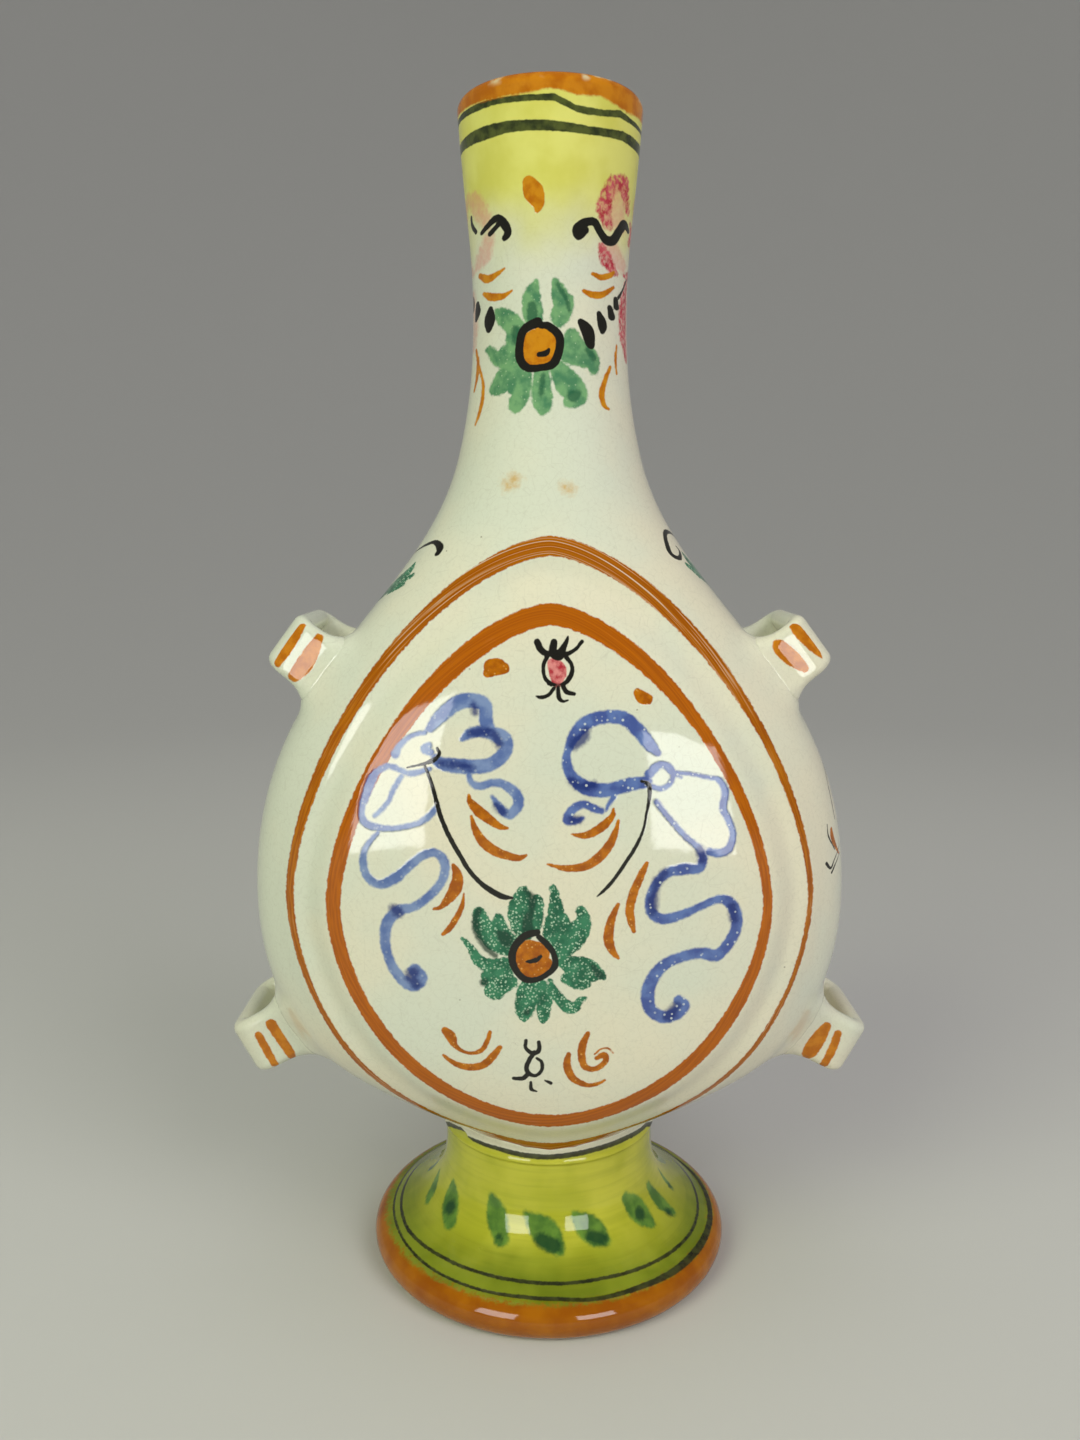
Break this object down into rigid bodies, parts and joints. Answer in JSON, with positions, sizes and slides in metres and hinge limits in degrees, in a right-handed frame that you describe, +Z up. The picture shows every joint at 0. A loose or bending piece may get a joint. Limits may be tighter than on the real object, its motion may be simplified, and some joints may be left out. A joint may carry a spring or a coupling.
{
  "type": "ceramic flask vase",
  "caption": "Tin-glazed ceramic vase of pilgrim-flask form: flat egg-shaped body with raised medallions, slender flared neck, flaring round foot and strap lugs for a cord.",
  "frame": {"origin": "centre of the foot's resting ring, on the surface that the vase stands on", "axes": "+Z up along the neck's axis, +X to the right seen from the front, +Y towards the back"},
  "size_m": [0.1296, 0.0752, 0.231],
  "materials": {
    "glaze_body": "glossy off-white tin glaze, painted in orange, blue, green and black",
    "glaze_neck": "glossy off-white tin glaze, lemon yellow at the mouth, orange lip",
    "glaze_foot": "glossy yellow to olive-green glaze with an orange rolled rim",
    "glaze_lug": "glossy off-white tin glaze with orange strokes"
  },
  "bodies": {
    "root": {"body_front": "glaze_body", "body_back": "glaze_body", "neck": "glaze_neck", "foot": "glaze_foot", "lug_upper_left": "glaze_lug", "lug_upper_right": "glaze_lug", "lug_lower_left": "glaze_lug", "lug_lower_right": "glaze_lug"}
  },
  "joints": []
}
